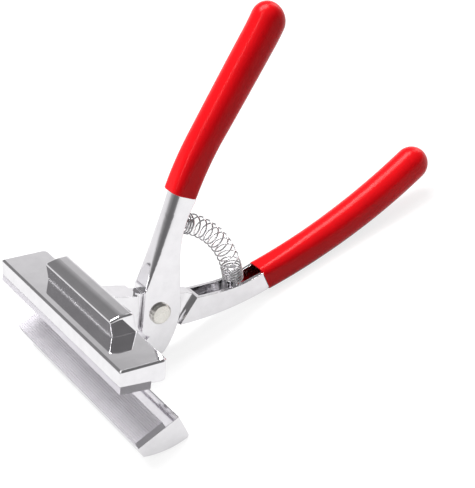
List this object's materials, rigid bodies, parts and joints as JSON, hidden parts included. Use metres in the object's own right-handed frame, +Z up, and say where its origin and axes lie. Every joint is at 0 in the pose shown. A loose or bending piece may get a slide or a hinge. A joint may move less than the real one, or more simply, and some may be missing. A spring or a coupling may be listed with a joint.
{
  "type": "canvas pliers",
  "caption": "Spring-loaded canvas stretching pliers with wide lined jaws, a hammer block and two dipped grips, standing open on the lower jaw.",
  "frame": {"origin": "centre of the bounding box at the plane that the lower jaw and the lower grip stand on", "axes": "+X from the jaws to the grips, +Y along the pivot and the jaws' width, +Z up"},
  "size_m": [0.218, 0.12, 0.1448],
  "materials": {
    "plated_steel": "polished nickel-chrome plating",
    "grip_lining": "matt grey, fine ribs",
    "red_grip": "glossy dipped red",
    "rivet_steel": "nickel plated",
    "spring_steel": "bright wire"
  },
  "bodies": {
    "fulcrum_half": {"upper_jaw": "plated_steel", "hammer_block": "plated_steel", "upper_grip_strip": "grip_lining", "lower_handle": "plated_steel", "lower_grip_sleeve": "red_grip", "pivot_rivet": "rivet_steel", "lower_spring_stud": "plated_steel", "return_spring": "spring_steel"},
    "fork_half": {"lower_jaw": "plated_steel", "lower_grip_strip": "grip_lining", "upper_handle": "plated_steel", "upper_grip_sleeve": "red_grip", "upper_spring_stud": "plated_steel"}
  },
  "joints": [
    {"name": "handle_pivot", "type": "hinge", "parent": "fulcrum_half", "child": "fork_half", "pos_m": [-0.05851, 0, 0.02631], "axis": [0, 1, 0], "range_deg": [0, 32], "stiffness_Nm_per_rad": 1.2, "springref_deg": -28.65, "deforming": ["return_spring"]}
  ]
}
